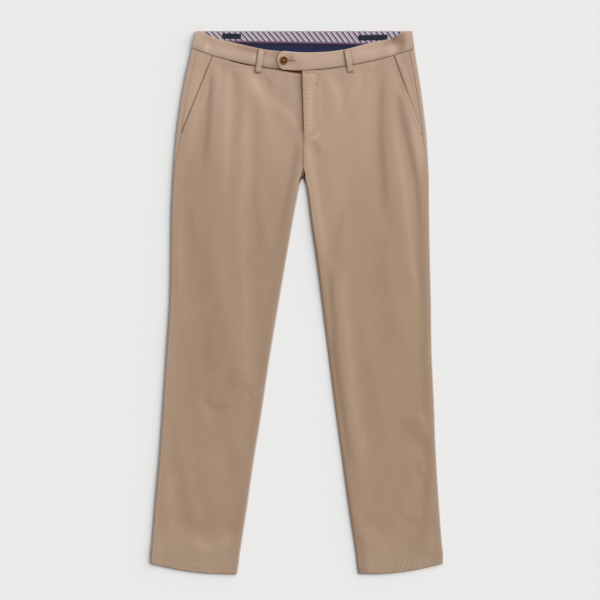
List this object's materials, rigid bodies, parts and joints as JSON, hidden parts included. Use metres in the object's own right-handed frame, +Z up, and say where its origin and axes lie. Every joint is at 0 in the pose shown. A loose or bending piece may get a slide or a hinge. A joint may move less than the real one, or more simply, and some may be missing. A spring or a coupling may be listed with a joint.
{
  "type": "chino trousers",
  "caption": "Plain-front chino trousers laid flat, front side up, with slant pockets, a buttoned waistband tab, belt loops and a striped band facing.",
  "frame": {"origin": "centre of the bounding box in plan, at the height of the surface that the trousers lie on", "axes": "+Y towards the waist, +X towards the wearer's left (the viewer's right), +Z up off the surface"},
  "size_m": [0.6168, 1.1414, 0.0127],
  "materials": {
    "twill": "brushed cotton twill, khaki",
    "stripe": "fine cotton with thin dark diagonal stripes",
    "piping": "matt dark purple piping",
    "curtain": "matt navy cotton",
    "label": "matt woven navy, bare",
    "zip_tape": "matt woven tape",
    "horn": "brown horn effect"
  },
  "bodies": {
    "root": {"back_right": "twill", "front_right": "twill", "pocket_facing_right": "twill", "waistband_right": "twill", "back_left": "twill", "front_left": "twill", "pocket_facing_left": "twill", "waistband_left": "twill", "band_facing": "stripe", "facing_piping": "piping", "band_curtain": "curtain", "label_small": "label", "label_large": "label", "fly_shield": "twill", "fly_zip": "zip_tape", "belt_loop_front_right": "twill", "belt_loop_front_left": "twill", "belt_loop_back_right": "twill", "belt_loop_back_centre": "twill", "belt_loop_back_left": "twill", "waist_button": "horn"}
  },
  "joints": []
}
